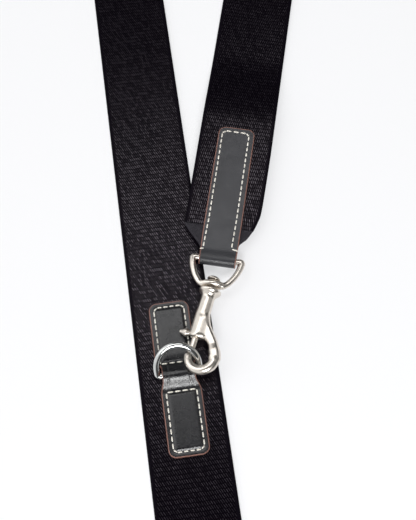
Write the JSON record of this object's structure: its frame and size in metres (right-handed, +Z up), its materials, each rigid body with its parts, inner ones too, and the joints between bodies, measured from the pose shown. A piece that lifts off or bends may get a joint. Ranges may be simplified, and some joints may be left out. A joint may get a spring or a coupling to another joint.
{
  "type": "martingale",
  "caption": "Elastic horse martingale laid flat: long black webbing strap with a chest ring on a leather tab, and a second strap clipped to the ring by a trigger snap.",
  "frame": {"origin": "on the back of the main strap, on its centre line, under the bar of the chest ring", "axes": "+Y along the main strap towards its saddle end, +X towards the right arm, +Z up from the surface it lies on"},
  "size_m": [0.2214, 1.0206, 0.0195],
  "materials": {
    "elastic": "matte woven elastic webbing with a fine zigzag twill",
    "binding": "matte grosgrain",
    "leather": "satin black leather with reddish brown raw edges and cream stitching",
    "ring_chrome": "polished",
    "snap_nickel": "satin nickel plate",
    "spring_steel": "drawn wire"
  },
  "bodies": {
    "root": {"chest_webbing": "elastic", "chest_tab": "leather"},
    "chest_ring": {"chest_ring": "ring_chrome"},
    "chest_snap": {"chest_clip_snap_body": "snap_nickel", "chest_clip_snap_rivet": "snap_nickel", "chest_clip_snap_spring": "spring_steel"},
    "chest_bolt": {"chest_clip_snap_bolt": "snap_nickel"},
    "chest_eye": {"chest_clip_eye": "snap_nickel"},
    "right_arm": {"chest_clip_tab": "leather", "chest_clip_binding": "binding", "right_webbing": "elastic"},
    "left_middle": {"left_middle_webbing": "elastic"},
    "left_end": {"left_saddle_tab": "leather", "left_saddle_binding": "binding", "left_saddle_end_webbing": "elastic"},
    "left_eye": {"left_saddle_eye": "snap_nickel"},
    "left_snap": {"left_saddle_snap_body": "snap_nickel", "left_saddle_snap_rivet": "snap_nickel", "left_saddle_snap_spring": "spring_steel"},
    "left_bolt": {"left_saddle_snap_bolt": "snap_nickel"},
    "right_middle": {"right_middle_webbing": "elastic"},
    "right_end": {"right_saddle_tab": "leather", "right_saddle_binding": "binding", "right_saddle_end_webbing": "elastic"},
    "right_eye": {"right_saddle_eye": "snap_nickel"},
    "right_snap": {"right_saddle_snap_body": "snap_nickel", "right_saddle_snap_rivet": "snap_nickel", "right_saddle_snap_spring": "spring_steel"},
    "right_bolt": {"right_saddle_snap_bolt": "snap_nickel"},
    "girth_middle": {"girth_middle_webbing": "elastic"},
    "girth_end": {"girth_tab": "leather", "girth_binding": "binding", "girth_end_webbing": "elastic"},
    "girth_eye": {"girth_eye": "snap_nickel"},
    "girth_snap": {"girth_snap_body": "snap_nickel", "girth_snap_rivet": "snap_nickel", "girth_snap_spring": "spring_steel"},
    "girth_bolt": {"girth_snap_bolt": "snap_nickel"}
  },
  "joints": [
    {"name": "chest_ring_hinge", "type": "hinge", "parent": "root", "child": "chest_ring", "pos_m": [0, -0.0005, 0.00475], "axis": [1, 0, 0], "range_deg": [0, 35]},
    {"name": "chest_hook_link", "type": "hinge", "parent": "chest_ring", "child": "chest_snap", "pos_m": [0.0132, 0.00444, 0.00897], "axis": [0, -0.7604, -0.6494], "range_deg": [0, 8]},
    {"name": "chest_trigger", "type": "slide", "parent": "chest_snap", "child": "chest_bolt", "axis": [0.4201, 0.9071, -0.0247], "range_m": [0, 0.0085], "stiffness_N_per_m": 500, "deforming": ["chest_clip_snap_spring"]},
    {"name": "chest_swivel", "type": "hinge", "parent": "chest_snap", "child": "chest_eye", "pos_m": [0.02814, 0.052, 0.00952], "axis": [0.4201, 0.9071, -0.0247], "range_deg": [0, 90]},
    {"name": "chest_tab_hinge", "type": "hinge", "parent": "chest_eye", "child": "right_arm", "pos_m": [0.03429, 0.06959, 0.0069], "axis": [0.9588, -0.284, 0], "range_deg": [0, 110]},
    {"name": "left_stretch", "type": "slide", "parent": "root", "child": "left_middle", "axis": [0, 1, 0], "range_m": [0, 0.06], "stiffness_N_per_m": 250},
    {"name": "left_flex", "type": "hinge", "parent": "left_middle", "child": "left_end", "pos_m": [0, 0.38, 0.0012], "axis": [1, 0, 0], "range_deg": [0, 110]},
    {"name": "left_tab_hinge", "type": "hinge", "parent": "left_end", "child": "left_eye", "pos_m": [0, 0.54115, 0.00395], "axis": [1, 0, 0], "range_deg": [0, 110]},
    {"name": "left_swivel", "type": "hinge", "parent": "left_eye", "child": "left_snap", "pos_m": [0.0009, 0.5596, 0.00757], "axis": [0, -0.9978, 0.0663], "continuous": true},
    {"name": "left_trigger", "type": "slide", "parent": "left_snap", "child": "left_bolt", "axis": [0, -0.9978, 0.0663], "range_m": [0, 0.0085], "stiffness_N_per_m": 500, "deforming": ["left_saddle_snap_spring"]},
    {"name": "right_stretch", "type": "slide", "parent": "right_arm", "child": "right_middle", "axis": [0.284, 0.9588, 0], "range_m": [0, 0.06], "stiffness_N_per_m": 250},
    {"name": "right_flex", "type": "hinge", "parent": "right_middle", "child": "right_end", "pos_m": [0.12409, 0.37272, 0.0012], "axis": [0.9588, -0.284, 0], "range_deg": [0, 110]},
    {"name": "right_tab_hinge", "type": "hinge", "parent": "right_end", "child": "right_eye", "pos_m": [0.16985, 0.52724, 0.00395], "axis": [0.9588, -0.284, 0], "range_deg": [0, 110]},
    {"name": "right_swivel", "type": "hinge", "parent": "right_eye", "child": "right_snap", "pos_m": [0.17596, 0.54467, 0.00757], "axis": [-0.2834, -0.9567, 0.0663], "continuous": true},
    {"name": "right_trigger", "type": "slide", "parent": "right_snap", "child": "right_bolt", "axis": [-0.2834, -0.9567, 0.0663], "range_m": [0, 0.0085], "stiffness_N_per_m": 500, "deforming": ["right_saddle_snap_spring"]},
    {"name": "girth_stretch", "type": "slide", "parent": "root", "child": "girth_middle", "axis": [0, -1, 0], "range_m": [0, 0.06], "stiffness_N_per_m": 250},
    {"name": "girth_flex", "type": "hinge", "parent": "girth_middle", "child": "girth_end", "pos_m": [0, -0.165, 0.0012], "axis": [-1, 0, 0], "range_deg": [0, 110]},
    {"name": "girth_tab_hinge", "type": "hinge", "parent": "girth_end", "child": "girth_eye", "pos_m": [0, -0.32615, 0.00395], "axis": [-1, 0, 0], "range_deg": [0, 110]},
    {"name": "girth_swivel", "type": "hinge", "parent": "girth_eye", "child": "girth_snap", "pos_m": [-0.0009, -0.3446, 0.00757], "axis": [0, 0.9978, 0.0663], "continuous": true},
    {"name": "girth_trigger", "type": "slide", "parent": "girth_snap", "child": "girth_bolt", "axis": [0, 0.9978, 0.0663], "range_m": [0, 0.0085], "stiffness_N_per_m": 500, "deforming": ["girth_snap_spring"]}
  ]
}
